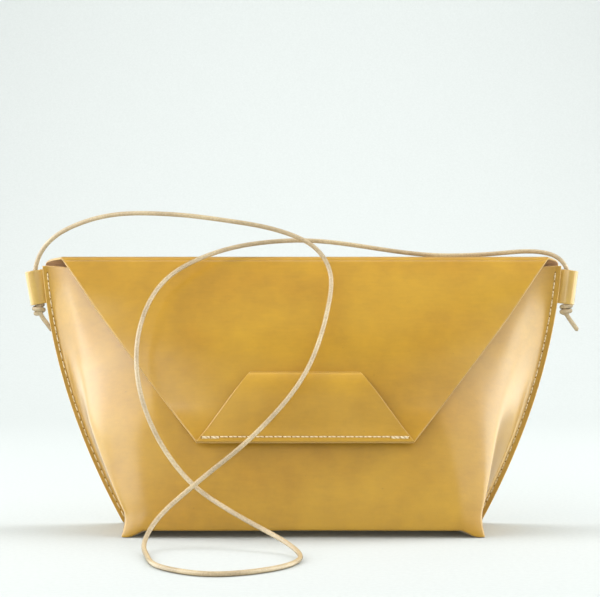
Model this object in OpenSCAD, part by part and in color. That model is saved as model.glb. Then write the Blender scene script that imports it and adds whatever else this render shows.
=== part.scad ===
// Trapeze shoulder bag in vegetable-tanned leather: a boxed front sewn to a flat back at two side seams,
// a flap that folds over from the back and closes on a hidden magnetic snap, and a thin leather cord.
// Millimetres. X runs across the bag, the front faces -Y and +Z is up. The bag stands on Z = 0.

/* [Body] */
// Thickness of the body leather
leather_t = 2; // [1.6:0.1:2.4]
// Width of the bag at the bottom ends of the side seams
base_w = 240; // [220:1:260]
// Width of the bag at the top ends of the side seams
top_w = 349; // [330:1:370]
// Height of the side seams
seam_h = 173; // [160:1:190]
// How strongly the side seams bow outwards, from 0, straight
seam_bow = 0.75; // [0.5:0.05:0.95]
// Width of the flat sewn edge outside the boxed part
seam_allowance = 7; // [6:0.5:9]
// Depth of the bag at the floor, from the front leather to the back leather
base_d = 70; // [60:1:80]
// Width of the front face at the floor
front_w = 228; // [210:1:234]
// How much further out each front corner stands at the mouth
front_flare = 12; // [6:1:18]
// How late the front leans back on its way up, from 1, straight
front_belly = 1.6; // [1.3:0.05:1.9]
// Clear gap between front and back leather in the middle of the mouth
mouth_gap = 11; // [9:0.5:13]
// How much lower the mouth edge is in the middle of the front
front_dip = 8; // [7:0.5:14]
// How far the middle of the front stands forward of its corners
front_crown = 3; // [0:0.5:5]
// Length over which a front corner is rounded at the floor
corner_low = 4; // [3:0.5:8]
// Length over which a front corner is rounded at the mouth
corner_high = 120; // [80:5:140]
// Height of the arch under the bag between its four feet
base_lift = 4; // [2:0.5:6]
// Distance over which the arch rises from a foot
foot_run = 18; // [12:1:26]

/* [Flap] */
// Radius of the fold over the mouth, at the middle of the leather
fold_r = 5; // [4.5:0.5:6]
// Angle off vertical at which the flap leaves the fold
fold_angle = 36; // [32:1:42]
// Width of the fold at its top
fold_top_w = 328; // [310:1:336]
// Width of the fold where it grows out of the back
fold_back_w = 345; // [338:1:347]
// Width of the flap at its bottom edge
flap_bottom_w = 138; // [128:1:150]
// Height of the flap's bottom edge above the floor
flap_bottom_z = 60; // [52:1:64]
// How far the flap hangs to the right of the middle
flap_offset = 2; // [0:0.5:4]
// Length of the flat part of the flap above the snap
flap_flat = 22; // [20:1:28]

/* [Tab] */
// Thickness of the leather strip that is folded double into the tab
tab_t = 1.2; // [1:0.1:1.4]
// Width of the tab at its sewn bottom edge
tab_bottom_w = 138; // [120:1:138]
// Width of the tab at its folded top edge
tab_top_w = 70; // [60:1:80]
// Length of the tab up the flap
tab_h = 46; // [42:1:48]

/* [Snap] */
// Height of the snap's middle above the floor
snap_z = 86; // [82:1:90]
// Diameter of both snap halves
snap_d = 18; // [16:0.5:20]
// Thickness of the snap half on the flap
cap_h = 1.5; // [1.3:0.1:1.8]
// Thickness of the snap half on the front
socket_h = 2.8; // [2.6:0.1:3.2]
// Diameter of the post in the middle of the flap's half
post_d = 5; // [4:0.5:6]
// Length of that post
post_h = 2; // [1.5:0.1:2.2]
// Wall of the metal shell round the magnet
shell_t = 0.5; // [0.4:0.1:0.6]
// Diameter of the washers behind the leather
washer_d = 16; // [14:0.5:18]
// Thickness of those washers
washer_t = 0.8; // [0.6:0.1:1]
// Width of a snap prong
prong_w = 3.2; // [2.5:0.1:4]
// Thickness of a snap prong
prong_t = 0.6; // [0.5:0.1:0.8]
// Distance of each prong from the snap's middle
prong_out = 4; // [3.5:0.1:4.5]

/* [Strap loops] */
// Thickness of the loop leather
loop_t = 1.4; // [1.2:0.1:1.6]
// Height of a loop along the seam
loop_h = 22; // [18:1:26]
// Height of a loop's middle above the floor
loop_z = 158; // [150:1:160]
// Outer radius of the round end that the cord runs through
loop_r = 5; // [4.8:0.1:5.4]
// How far a loop stands out from the seam's edge
loop_reach = 12; // [12:0.5:14]
// Length of loop leather sewn to the back, measured in from the seam's edge
loop_tail = 8; // [7:0.5:12]
// Lean of the loops, top outwards, off vertical
loop_tilt = 9; // [6:0.5:10]

/* [Cord] */
// Diameter of the shoulder cord
cord_d = 3; // [2.6:0.1:3.2]
// Diameter of the knots under the loops
knot_d = 9; // [8:0.5:10]
// Length of the free end below each knot, from the knot's middle
tail_l = 18; // [12:1:22]
// Lean of the left free end, inwards, off vertical
left_tail_lean = 25; // [15:1:30]
// Lean of the right free end, outwards, off vertical
right_tail_lean = 43; // [30:1:50]
// Lean of both free ends towards the back
tail_back_lean = 9; // [6:1:14]

/* [Stitching] */
// Distance from one stitch to the next
stitch_pitch = 6; // [5:0.5:8]
// Length of thread that shows of one stitch
stitch_l = 4.4; // [3.5:0.1:4.8]
// Width of the thread
thread_w = 0.9; // [0.7:0.1:1.1]
// How far the thread stands above the leather
thread_t = 0.5; // [0.3:0.1:0.6]
// Distance of the side stitching from the seam's edge
stitch_inset = 4; // [3.5:0.1:4.5]
// Distance of the tab's stitching from its bottom edge
tab_stitch_inset = 3.2; // [2.8:0.1:3.6]

/* [Hidden] */
$fn = 48;

// Working clearance between pieces that must not touch
clearance = 0.3;
// Clearance round a piece that is trapped or pushed through leather
snug = 0.05;
// Shallow gap between the two layers of the folded tab
tab_slit = 0.2;
// Height of the tab's bottom strip that lies flat on the flap under the stitching
tab_sewn_h = 6.5;
// Facets: side wall, rounded corner and front of half a section, rows below and above the snap, and curves
side_steps = 3;
corner_steps = 6;
front_steps = 5;
rows_below_snap = 6;
rows_above_snap = 6;
curve_steps = 14;

// The bag's depth with its loops is centred on Y = 0, and these are the planes that the leathers lie in
loop_behind = loop_t + loop_r;
back_y = (base_d - loop_behind) / 2;
join_y = back_y - leather_t;
seam_y = join_y - leather_t;
front_y = back_y - base_d;

// The side seam's edge: its distance from the middle at height z, its slope, and its angle off vertical
function seam_x(z) =
    let (v = z / seam_h) base_w / 2 + (top_w - base_w) / 2 * (v + seam_bow * v * (1 - v));
function seam_angle(z) =
    let (v = z / seam_h) atan((top_w - base_w) / 2 * (1 + seam_bow * (1 - 2 * v)) / seam_h);

function mix(a, b, s) = a + (b - a) * s;
function unit(p) = p / norm(p);
function smooth(s) = let (c = max(0, min(1, s))) c * c * (3 - 2 * c);
function curve(a, b, c, s) = (1 - s) * (1 - s) * a + 2 * s * (1 - s) * b + s * s * c;

// Half of the front's section at share v of its height, from the seam's edge in to the snap's flat middle.
// t is 0 on the grain side and the leather's thickness on the flesh side.
snap_flat = snap_d / 2 + 5;
function front_depth(v) = mix(seam_y - front_y, mouth_gap, pow(v, front_belly));
function crease_x(v) = front_w / 2 + front_flare * (1 - (1 - v) * (1 - v));
function corner_arm(v) = mix(corner_low, corner_high, pow(v, 1.2));
function crowned(p, v, t, xc) =
    let (out = max(0, p[0] - snap_flat) / (xc - snap_flat), side = (seam_y + t - p[1]) / front_depth(v))
    [p[0], p[1] + front_crown * v * pow(min(1, out), 2) * side];
function half_section(v, t) =
    let (
        edge = seam_x(v * seam_h),
        xc = crease_x(v) - t,
        s = [edge - seam_allowance - t, seam_y + t],
        k = [xc, seam_y + t - front_depth(v)],
        m = [snap_flat, k[1]],
        k1 = k + unit(s - k) * min(corner_arm(v), 0.95 * norm(s - k)),
        k2 = k + unit(m - k) * min(corner_arm(v), 0.95 * norm(m - k)),
        walls = concat(
            [for (i = [0:side_steps]) mix(s, k1, i / side_steps)],
            [for (i = [1:corner_steps]) curve(k1, k, k2, i / corner_steps)],
            [for (i = [1:front_steps]) mix(k2, m, i / front_steps)]
        )
    )
    concat([[edge, seam_y + t]], [for (p = walls) crowned(p, v, t, xc)]);
function section(v, t) =
    let (half = half_section(v, t), n = len(half))
    concat([for (p = half) [-p[0], p[1]]], [for (i = [n - 1:-1:0]) half[i]]);
columns = 2 * (2 + side_steps + corner_steps + front_steps);

// The foot of each column rises from the four corners to the arch, and its top dips in the middle of the mouth
foot_low = section(0, 0);
mouth_rim = section(1, 0);
foot_tip = [front_w / 2, front_y];
foot_heel = [base_w / 2 - seam_allowance, seam_y];
function foot_z(p) =
    let (
        q = [abs(p[0]), p[1]],
        tip = smooth((norm(q - foot_tip) - corner_low) / foot_run),
        heel = q[0] > foot_heel[0] ? 0 : smooth(norm(q - foot_heel) / foot_run)
    )
    base_lift * min(tip, heel);
column_foot = [for (p = foot_low) foot_z(p)];
column_top = [
    for (p = mouth_rim)
        let (out = abs(p[0]) / (seam_x(seam_h) - seam_allowance))
        seam_h - front_dip * (out < 1 ? 1 - out * out : 0)
];
floor_z = base_lift + leather_t;

// Rows of the front: the snap sits on one flat facet between two of them
mid_top = column_top[columns / 2];
mid_foot = column_foot[columns / 2];
snap_margin = snap_d / 2 + 3;
function row_share(z) = (z - mid_foot) / (mid_top - mid_foot);
snap_row_low = row_share(snap_z - snap_margin);
snap_row_high = row_share(snap_z + snap_margin);
rows = concat(
    [for (i = [0:rows_below_snap]) snap_row_low * i / rows_below_snap],
    [for (i = [0:rows_above_snap]) mix(snap_row_high, 1, i / rows_above_snap)]
);

// Points of one wall row, and of one ring of the base, drawn in towards the middle of the back seam
function wall_row(v, t) =
    let (s = section(v, t))
    [
        for (i = [0:columns - 1])
            let (z = mix(column_foot[i], column_top[i], v), edge = i == 0 || i == columns - 1)
            [s[i][0], s[i][1], t > 0 && !edge ? max(z, floor_z) : z]
    ];
function base_ring(share, t, flat) =
    let (s = section(0, t))
    [
        for (i = [0:columns - 1])
            let (under = t == 0 || i == 0 || i == columns - 1, foot = flat ? base_lift : column_foot[i])
            [s[i][0] * share, mix(join_y, s[i][1], share), under ? foot : floor_z]
    ];

// A closed shell from two sheets of rows that run from the base's middle to the mouth
module front_shell() {
    rims = [[0.8, true], [0.96, false]];
    outer = concat(
        [for (r = rims) base_ring(r[0], 0, r[1])],
        [for (v = rows) wall_row(v, 0)]
    );
    inner = concat(
        [for (r = rims) base_ring(r[0], leather_t, r[1])],
        [for (v = rows) wall_row(v, leather_t)]
    );
    n = len(outer);
    points = concat(
        [for (r = outer) each r],
        [for (r = inner) each r],
        [[0, join_y, base_lift], [0, join_y, floor_z]]
    );
    half = n * columns;
    outer_mid = 2 * half;
    inner_mid = outer_mid + 1;
    last = columns - 1;
    function at(sheet, r, c) = sheet * half + r * columns + c;
    sheets = [
        for (r = [0:n - 2], c = [0:last - 1])
            each [
                [at(0, r, c), at(0, r + 1, c), at(0, r + 1, c + 1)],
                [at(0, r, c), at(0, r + 1, c + 1), at(0, r, c + 1)],
                [at(1, r, c), at(1, r + 1, c + 1), at(1, r + 1, c)],
                [at(1, r, c), at(1, r, c + 1), at(1, r + 1, c + 1)]
            ]
    ];
    middles = [
        for (c = [0:last - 1])
            each [
                [outer_mid, at(0, 0, c), at(0, 0, c + 1)],
                [inner_mid, at(1, 0, c + 1), at(1, 0, c)],
                [at(0, n - 1, c), at(1, n - 1, c), at(1, n - 1, c + 1)],
                [at(0, n - 1, c), at(1, n - 1, c + 1), at(0, n - 1, c + 1)]
            ]
    ];
    ends = [
        for (r = [0:n - 2])
            each [
                [at(0, r, 0), at(1, r, 0), at(1, r + 1, 0)],
                [at(0, r, 0), at(1, r + 1, 0), at(0, r + 1, 0)],
                [at(0, r, last), at(1, r + 1, last), at(1, r, last)],
                [at(0, r, last), at(0, r + 1, last), at(1, r + 1, last)]
            ]
    ];
    heel = [
        [outer_mid, inner_mid, at(1, 0, 0)],
        [outer_mid, at(1, 0, 0), at(0, 0, 0)],
        [outer_mid, at(1, 0, last), inner_mid],
        [outer_mid, at(0, 0, last), at(1, 0, last)]
    ];
    polyhedron(points = points, faces = concat(sheets, middles, ends, heel), convexity = 8);
}

// The snap's place: the middle of its facet, and the direction up the leather there, as [y, z]
facet_low = [seam_y - front_depth(snap_row_low), snap_z - snap_margin];
facet_high = [seam_y - front_depth(snap_row_high), snap_z + snap_margin];
snap_at = (facet_low + facet_high) / 2;
up_leather = unit(facet_high - facet_low);
out_leather = [-up_leather[1], up_leather[0]];
snap_lean = atan2(up_leather[0], up_leather[1]);
snap_h = socket_h + clearance + cap_h;

// The flap's middle line, as [y, z] points with their directions: flat past the snap, then bending into the fold
fold_y = back_y - leather_t / 2 - fold_r;
fold_top_z = seam_h + fold_r + leather_t / 2;
flap_at = snap_at + out_leather * (snap_h + leather_t / 2);
flap_below = (flap_at[1] - flap_bottom_z) / up_leather[1];
flap_low = flap_at - up_leather * flap_below;
flap_bend = flap_at + up_leather * flap_flat;
fold_end = [fold_y - fold_r * cos(fold_angle), seam_h + fold_r * sin(fold_angle)];
fold_dir = [sin(fold_angle), cos(fold_angle)];
function cross_z(a, b) = a[0] * b[1] - a[1] * b[0];
bend_reach = cross_z(fold_end - flap_bend, fold_dir) / cross_z(up_leather, fold_dir);
bend_mid = flap_bend + up_leather * bend_reach;
flap_line = concat(
    [[flap_low, up_leather]],
    [
        for (i = [0:curve_steps])
            let (s = i / curve_steps, d = mix(bend_mid - flap_bend, fold_end - bend_mid, s))
            [curve(flap_bend, bend_mid, fold_end, s), unit(d)]
    ]
);

// Outline of a strip of thickness t that follows a line of points with directions
function strip(line, t) =
    concat(
        [for (p = line) p[0] + [-p[1][1], p[1][0]] * t / 2],
        [for (i = [len(line) - 1:-1:0]) line[i][0] - [-line[i][1][1], line[i][1][0]] * t / 2]
    );
// A profile drawn in Y and Z, carried across the bag
module across(w) {
    translate([-w / 2, 0, 0])
        rotate([90, 0, 90])
            linear_extrude(height = w)
                children();
}
// An outline drawn in X and Z, carried from front to back
module front_to_back(depth) {
    translate([0, depth / 2, 0])
        rotate([90, 0, 0])
            linear_extrude(height = depth)
                children();
}
flap_slope = (fold_top_w - flap_bottom_w) / 2 / (fold_top_z - flap_bottom_z);
function flap_half_w(z) = flap_bottom_w / 2 + (z - flap_bottom_z) * flap_slope;

// Frames on the leather at the snap: +Z runs up the leather and -Y stands out from it
module on_front() {
    translate([flap_offset, snap_at[0], snap_at[1]])
        rotate([-snap_lean, 0, 0])
            children();
}
module on_flap() {
    on_front()
        translate([0, -snap_h - leather_t, 0])
            children();
}
module disc(d, h, y) {
    translate([0, y, 0])
        rotate([90, 0, 0])
            cylinder(d = d, h = h);
}
// Two prongs that start at y and run depth towards dir, then bend outwards flat on the washer
module prongs(y, depth, dir, grow) {
    for (side = [-1, 1]) {
        translate([0, y + dir * depth / 2, side * prong_out])
            cube([prong_w + 2 * grow, depth, prong_t + 2 * grow], center = true);
    }
}
module prong_feet(y, dir) {
    foot_l = washer_d / 2 - prong_out - 0.5;
    for (side = [-1, 1]) {
        translate([0, y + dir * prong_t / 2, side * (prong_out - prong_t / 2 + foot_l / 2)])
            cube([prong_w, prong_t, foot_l], center = true);
    }
}

// One stitch lying in X and Z, long side up, with its thread standing out to -Y
module stitch_bar(y, x, z, angle) {
    translate([x, y, z])
        rotate([90, 0, 0])
            linear_extrude(height = thread_t)
                rotate(90 - angle) {
                    square([stitch_l - thread_w, thread_w], center = true);
                    for (end = [-1, 1]) {
                        translate([end * (stitch_l - thread_w) / 2, 0])
                            circle(d = thread_w);
                    }
                }
}
// Heights of the side stitches, one pitch apart along the seam
function stitch_heights(z) =
    z > seam_h - stitch_pitch * 0.7 ? [] : concat([z], stitch_heights(z + stitch_pitch * cos(seam_angle(z))));
side_stitches = stitch_heights(stitch_pitch);
module side_stitching() {
    for (z = side_stitches) {
        a = seam_angle(z);
        x = seam_x(z) - stitch_inset * cos(a);
        up = z + stitch_inset * sin(a);
        off_loop = abs(up - loop_z) - loop_h / 2;
        stitch_bar(seam_y, x, up, a);
        if (off_loop < -stitch_l / 2 - 1)
            stitch_bar(back_y + 2 * loop_t + thread_t, x, up, a);
        else if (off_loop > stitch_l / 2 + 1)
            stitch_bar(back_y + thread_t, x, up, a);
    }
}

// A strap loop's own frame, on the seam's edge at the back of the bag, with +Z along the loop
module at_loop() {
    translate([seam_x(loop_z), back_y, loop_z])
        rotate([0, loop_tilt, 0])
            children();
}
loop_mid = [loop_reach - loop_r, loop_t];
module strap_loop() {
    at_loop()
        linear_extrude(height = loop_h, center = true)
            difference() {
                union() {
                    translate(loop_mid)
                        circle(r = loop_r);
                    translate([-loop_tail, 0])
                        square([loop_tail + loop_mid[0], 2 * loop_t]);
                }
                translate(loop_mid)
                    circle(r = loop_r - loop_t);
            }
}
module strap_knot(lean) {
    // The ball is drawn up into the mouth of the loop's hole
    seat = sqrt(pow(knot_d / 2 + clearance, 2) - pow(loop_r - loop_t, 2));
    at_loop()
        translate([loop_mid[0], loop_mid[1], -loop_h / 2 - seat])
            rotate([180 + tail_back_lean, 0, 0])
                rotate([0, lean + loop_tilt, 0])
                    rotate_extrude()
                        intersection() {
                            union() {
                                circle(d = knot_d);
                                square([cord_d / 2, tail_l]);
                            }
                            translate([0, -knot_d])
                                square([knot_d, knot_d + tail_l]);
                        }
}

// The shoulder cord's middle line, from the left knot over the flap, along the floor and back to the right knot
cord_route = [
    [-178, 33, 144], [-181, 33, 164], [-181, 33, 172], [-178, 33, 181], [-173, 32, 188], [-142, 26, 204],
    [-86, 16, 207], [-53, 11, 203], [-12, 10, 195], [10, 12, 185], [17, 12, 176], [20, 6, 164],
    [18, -4, 150], [2, -31, 103], [-32, -52, 64], [-66, -68, 37], [-91, -84, 14], [-95, -94, 5],
    [-91, -113, 2.4], [-80, -154, 1.6], [-49, -179, 1.6], [-16, -161, 1.6], [-4, -141, 1.6], [0, -120, 2.4],
    [-5, -107, 5], [-45, -76, 23], [-66, -62, 35], [-89, -50, 62], [-103, -41, 97], [-104, -25, 132],
    [-87, 0, 166], [-73, 9, 175], [-43, 24, 186], [-12, 31, 190], [100, 38, 180], [128, 37, 181],
    [160, 34, 183], [176, 33, 179], [181, 33, 171], [181, 33, 163], [178, 33, 144]
];
cord_sides = 8;
steps_per_point = 2;
route_last = len(cord_route) - 1;
function route_dir(i) =
    i == 0 ? unit(cord_route[1] - cord_route[0]) :
    i == route_last ? unit(cord_route[i] - cord_route[i - 1]) :
    let (
        a = cord_route[i] - cord_route[i - 1],
        b = cord_route[i + 1] - cord_route[i],
        la = norm(a),
        lb = norm(b)
    )
    (a / la * lb + b / lb * la) / (la + lb);
function route_at(i, s) =
    let (
        a = cord_route[i],
        b = cord_route[i + 1],
        l = norm(b - a),
        h = s * s * (3 - 2 * s)
    )
    mix(a, b, h) + l * s * (1 - s) * ((1 - s) * route_dir(i) - s * route_dir(i + 1));
cord_line = concat(
    [for (i = [0:route_last - 1], k = [0:steps_per_point - 1]) route_at(i, k / steps_per_point)],
    [cord_route[route_last]]
);
cord_last = len(cord_line) - 1;
function cord_dir(i) = unit(cord_line[min(i + 1, cord_last)] - cord_line[max(i - 1, 0)]);
// A side direction carried along the line, so that the tube doesn't twist
function carried(i, side) =
    i > cord_last ? [] :
    let (d = cord_dir(i), turned = unit(side - d * (side * d)))
    concat([turned], carried(i + 1, turned));
cord_side = carried(0, [0, 1, 0]);
module cord_tube() {
    points = [
        for (i = [0:cord_last], k = [0:cord_sides - 1])
            let (a = 360 * (k + 0.5) / cord_sides, u = cord_side[i], w = cross(cord_dir(i), u))
            cord_line[i] + cord_d / 2 * (cos(a) * u + sin(a) * w)
    ];
    function at(i, k) = i * cord_sides + k % cord_sides;
    walls = [
        for (i = [0:cord_last - 1], k = [0:cord_sides - 1])
            each [[at(i, k), at(i + 1, k), at(i + 1, k + 1)], [at(i, k), at(i + 1, k + 1), at(i, k + 1)]]
    ];
    ends = [
        [for (k = [0:cord_sides - 1]) at(0, k)],
        [for (k = [cord_sides - 1:-1:0]) at(cord_last, k)]
    ];
    polyhedron(points = points, faces = concat(walls, ends), convexity = 8);
}

module front_panel() {
    color("#cfa54b")
        front_shell();
}

module back_panel() {
    steps = 16;
    corner_z = seam_h - 3;
    side = concat(
        [for (i = [0:steps]) [seam_x(corner_z * i / steps), corner_z * i / steps]],
        [[fold_back_w / 2, seam_h]]
    );
    outline = concat(side, [for (i = [len(side) - 1:-1:0]) [-side[i][0], side[i][1]]]);
    color("#c79b3f")
        translate([0, back_y - leather_t / 2, 0])
            front_to_back(leather_t)
                polygon(outline);
}

module top_fold() {
    arc = [
        for (i = [0:curve_steps])
            let (a = (180 - fold_angle) * i / curve_steps)
            [[fold_y + fold_r * cos(a), seam_h + fold_r * sin(a)], [-sin(a), cos(a)]]
    ];
    front_edge = flap_half_w(fold_end[1]);
    outline = [
        [fold_back_w / 2, back_y], [flap_offset + fold_top_w / 2, fold_y],
        [flap_offset + front_edge, fold_end[0]], [flap_offset + front_edge, fold_end[0] - leather_t],
        [flap_offset - front_edge, fold_end[0] - leather_t], [flap_offset - front_edge, fold_end[0]],
        [flap_offset - fold_top_w / 2, fold_y], [-fold_back_w / 2, back_y]
    ];
    color("#d6b86c")
        intersection() {
            across(top_w)
                polygon(strip(arc, leather_t));
            linear_extrude(height = fold_top_z + leather_t)
                polygon(outline);
        }
}

module flap() {
    low = flap_bottom_z - leather_t;
    color("#c8993c")
        difference() {
            intersection() {
                across(top_w)
                    polygon(strip(flap_line, leather_t));
                front_to_back(4 * base_d)
                    polygon([
                        [flap_offset - flap_half_w(low), low], [flap_offset + flap_half_w(low), low],
                        [flap_offset + flap_half_w(fold_top_z), fold_top_z],
                        [flap_offset - flap_half_w(fold_top_z), fold_top_z]
                    ]);
            }
            on_front()
                prongs(-snap_h + 1, leather_t + 2, -1, snug);
        }
}

// The tab's foot is level with the flap's bottom edge, and it stands off the flap over the washer and prongs
tab_low = -flap_below;
module tab() {
    lift = tab_t / 2 + washer_t + prong_t + snug;
    layer = tab_t + tab_slit;
    fold_mid = tab_low + tab_h - layer / 2 - tab_t / 2;
    knee = -washer_d / 2 - 3;
    back_layer = [
        [[-tab_t / 2, tab_low], [0, 1]], [[-tab_t / 2, tab_low + tab_sewn_h], [0, 1]],
        [[-lift, knee], [0, 1]], [[-lift, fold_mid], [0, 1]]
    ];
    bend = [
        for (i = [1:7])
            let (a = 180 * i / 8)
            [[-lift - layer / 2 + layer / 2 * cos(a), fold_mid + layer / 2 * sin(a)], [-sin(a), cos(a)]]
    ];
    front_layer = [for (i = [3:-1:0]) [back_layer[i][0] - [layer, 0], [0, -1]]];
    color("#caa044")
        on_flap()
            intersection() {
                across(tab_bottom_w)
                    polygon(strip(concat(back_layer, bend, front_layer), tab_t));
                front_to_back(base_d)
                    polygon([
                        [-tab_bottom_w / 2, tab_low], [tab_bottom_w / 2, tab_low],
                        [tab_top_w / 2, tab_low + tab_h], [-tab_top_w / 2, tab_low + tab_h]
                    ]);
            }
}

module tab_thread() {
    z = tab_low + tab_stitch_inset;
    narrowing = (tab_bottom_w - tab_top_w) / 2 / tab_h;
    reach = tab_bottom_w / 2 - tab_stitch_inset * (1 + narrowing) - stitch_l / 2;
    count = floor(reach / stitch_pitch);
    color("#f6e6c8")
        on_flap()
            for (i = [-count:count]) {
                stitch_bar(-2 * tab_t - tab_slit, i * stitch_pitch, z, 90);
                stitch_bar(leather_t + thread_t, i * stitch_pitch, z, 90);
            }
}

module right_seam_thread() {
    color("#f6e6c8")
        side_stitching();
}

module left_seam_thread() {
    color("#f6e6c8")
        mirror([1, 0, 0])
            side_stitching();
}

module right_loop() {
    color("#d3a94f")
        strap_loop();
}

module left_loop() {
    color("#d3a94f")
        mirror([1, 0, 0])
            strap_loop();
}

// The magnet's room inside the metal shell, above its solid bottom
magnet_room = socket_h - 2 * shell_t;
module snap_socket() {
    through = leather_t * cos(snap_lean) + washer_t;
    color("#c9a86a")
        on_front() {
            difference() {
                disc(snap_d, socket_h, 0);
                disc(snap_d - 2 * shell_t, magnet_room, -shell_t);
                disc(post_d + 4 * clearance, socket_h, -shell_t);
            }
            prongs(0, through + prong_t, 1, 0);
            prong_feet(through, 1);
        }
}

module snap_magnet() {
    color("#6f6c68")
        on_front()
            difference() {
                disc(snap_d - 2 * shell_t - 2 * snug, magnet_room - 2 * snug, -shell_t - snug);
                disc(post_d + 5 * clearance, socket_h, -shell_t + snug);
            }
}

module socket_washer() {
    inside = leather_t * cos(snap_lean);
    color("#d8c48c")
        on_front()
            difference() {
                disc(washer_d, washer_t, inside + washer_t);
                prongs(0, 3 * leather_t, 1, snug);
            }
}

module snap_cap() {
    through = leather_t + washer_t;
    color("#c9a86a")
        on_front() {
            disc(snap_d, cap_h, -socket_h - clearance);
            disc(post_d, post_h + cap_h / 2, -socket_h - clearance + post_h);
            prongs(-snap_h, through + prong_t, -1, 0);
            prong_feet(-snap_h - through, -1);
        }
}

module cap_washer() {
    color("#d8c48c")
        on_flap()
            difference() {
                disc(washer_d, washer_t, 0);
                prongs(1, 3 * leather_t, -1, snug);
            }
}

module shoulder_cord() {
    color("#e5d3b5")
        cord_tube();
}

module right_knot() {
    color("#ebd9b5")
        strap_knot(right_tail_lean);
}

module left_knot() {
    color("#ebd9b5")
        mirror([1, 0, 0])
            strap_knot(-left_tail_lean);
}

front_panel();
back_panel();
top_fold();
flap();
tab();
tab_thread();
left_seam_thread();
right_seam_thread();
left_loop();
right_loop();
snap_socket();
snap_magnet();
socket_washer();
snap_cap();
cap_washer();
shoulder_cord();
left_knot();
right_knot();
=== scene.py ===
import math
import bpy
import numpy as np
from mathutils import Euler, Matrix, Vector


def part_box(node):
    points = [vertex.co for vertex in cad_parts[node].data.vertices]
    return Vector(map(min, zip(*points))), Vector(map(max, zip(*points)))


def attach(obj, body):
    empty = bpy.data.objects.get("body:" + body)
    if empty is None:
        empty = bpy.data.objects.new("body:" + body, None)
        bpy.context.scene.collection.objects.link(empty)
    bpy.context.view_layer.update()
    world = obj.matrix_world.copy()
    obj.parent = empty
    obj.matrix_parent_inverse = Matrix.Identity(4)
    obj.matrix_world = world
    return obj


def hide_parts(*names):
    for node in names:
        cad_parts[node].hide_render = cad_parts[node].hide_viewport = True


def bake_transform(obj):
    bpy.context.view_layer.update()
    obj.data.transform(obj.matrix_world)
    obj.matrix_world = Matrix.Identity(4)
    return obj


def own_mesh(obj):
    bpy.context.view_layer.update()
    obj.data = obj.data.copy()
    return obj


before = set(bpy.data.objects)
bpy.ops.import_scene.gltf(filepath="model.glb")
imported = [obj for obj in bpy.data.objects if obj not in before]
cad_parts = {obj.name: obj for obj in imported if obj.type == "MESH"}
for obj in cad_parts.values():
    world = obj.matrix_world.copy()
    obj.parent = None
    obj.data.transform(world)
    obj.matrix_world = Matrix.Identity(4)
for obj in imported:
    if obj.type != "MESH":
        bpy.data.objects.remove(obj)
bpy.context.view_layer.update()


# The camera. It stands level in front of the bag, about a metre away and just under the bag's top edge,
# and looks straight back. The lens comes from its focal length in pixels of the 600 pixel wide picture.
MM = 0.001
PICTURE_W = 600
CAMERA_AT = np.array([-1.3, -1038.0, 151.0])
FOCAL_PX = 1587.0

camera = bpy.data.cameras.new("camera")
camera.sensor_width = 36
camera.lens = FOCAL_PX / PICTURE_W * camera.sensor_width
camera.clip_start = 0.01
camera_object = bpy.data.objects.new("camera", camera)
camera_object.location = CAMERA_AT * MM
camera_object.rotation_euler = Euler((math.radians(90), 0, 0))
bpy.context.scene.collection.objects.link(camera_object)
bpy.context.scene.camera = camera_object
bpy.context.scene.view_settings.view_transform = "Standard"


# The boxed front: one piece of vegetable-tanned leather, bent into the front face, two side walls and the
# base, and sewn to the flat back along two narrow flanges. Its mouth edge is cut raw and hangs a little low.
def box_mm(node):
    """A CAD node's lowest and highest corner, in millimetres."""
    low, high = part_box(node)
    return np.array(low) / MM, np.array(high) / MM


back_low, back_high = box_mm("back_panel")
front_low, front_high = box_mm("front_panel")
SEAM_H = back_high[2]
BACK_Y = back_high[1]
JOIN_Y = back_low[1]
LEATHER_T = BACK_Y - JOIN_Y
SEAM_Y = JOIN_Y - LEATHER_T
FRONT_Y = front_low[1]
TOP_HALF = front_high[0]
BASE_HALF = 120.0
SEAM_BOW = 0.75
# Width of each flange and its stitches' distance from the edge, left and right
FLANGE = {-1: 5.6, 1: 6.8}
STITCH_IN = {-1: 3.2, 1: 4.0}
# The power by which the front nears the back towards the mouth, the mouth's width there, and its dip
BELLY = 1.6
MOUTH_GAP = 11.0
MOUTH_DIP = 8.0
# Half width of the flat stretch under the snap. Outside it the front lies back, by CROWN at the mouth's
# corners and by SET_BACK at the lower ones, which fades in over a run from the crease and from the floor.
FLAT_HALF = 14.0
CROWN = 3.0
SET_BACK = 9.0
SET_BACK_RUN = 60.0
# Arms of the bends at the flange's root, the wall and the front: each one's length at the foot and what it
# gains up to the mouth
ROOT_ARM = (2.5, 6.0)
WALL_ARM = (2.5, 60.0)
FRONT_ARM = (16.0, 100.0)
# The height at which the mouth starts to draw a crease in, and over what further height it does so
TUCK_Z = 66.0
TUCK_RUN = 80.0
# The lower rim's arch between the feet, the radius of a foot's tip that stays on the floor, and how far
# the rim rolls under before the base begins
ARCH = 4.5
TIP_R = 3.5
ROLL = 1.8
# Radius of a cut edge's rounding
RIM_R = 0.7
# Each corner's crease: its distance from the middle at the floor, how far it spreads, over what height it
# does so, how far and high its foot flares out and over what reach the rim arches up from it, and how far
# the mouth draws it in again, left and right.
CREASES = {-1: (104.3, 60.0, 115.0, 10.5, 16.0, 11.0, 17.0), 1: (109.6, 18.0, 60.0, 6.6, 16.0, 12.0, 0.0)}
# Distances from a cut edge at which a sheet has a row of points
NEAR_EDGE = np.array([0, 0.1, 0.25, 0.45, 0.7, 1.1, 1.8, 2.6, 3.3, 3.7, 4, 4.3])
# Distance given to the points that no cut edge is near
FAR = 99.0


def mix(a, b, s):
    return a + (b - a) * s


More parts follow.
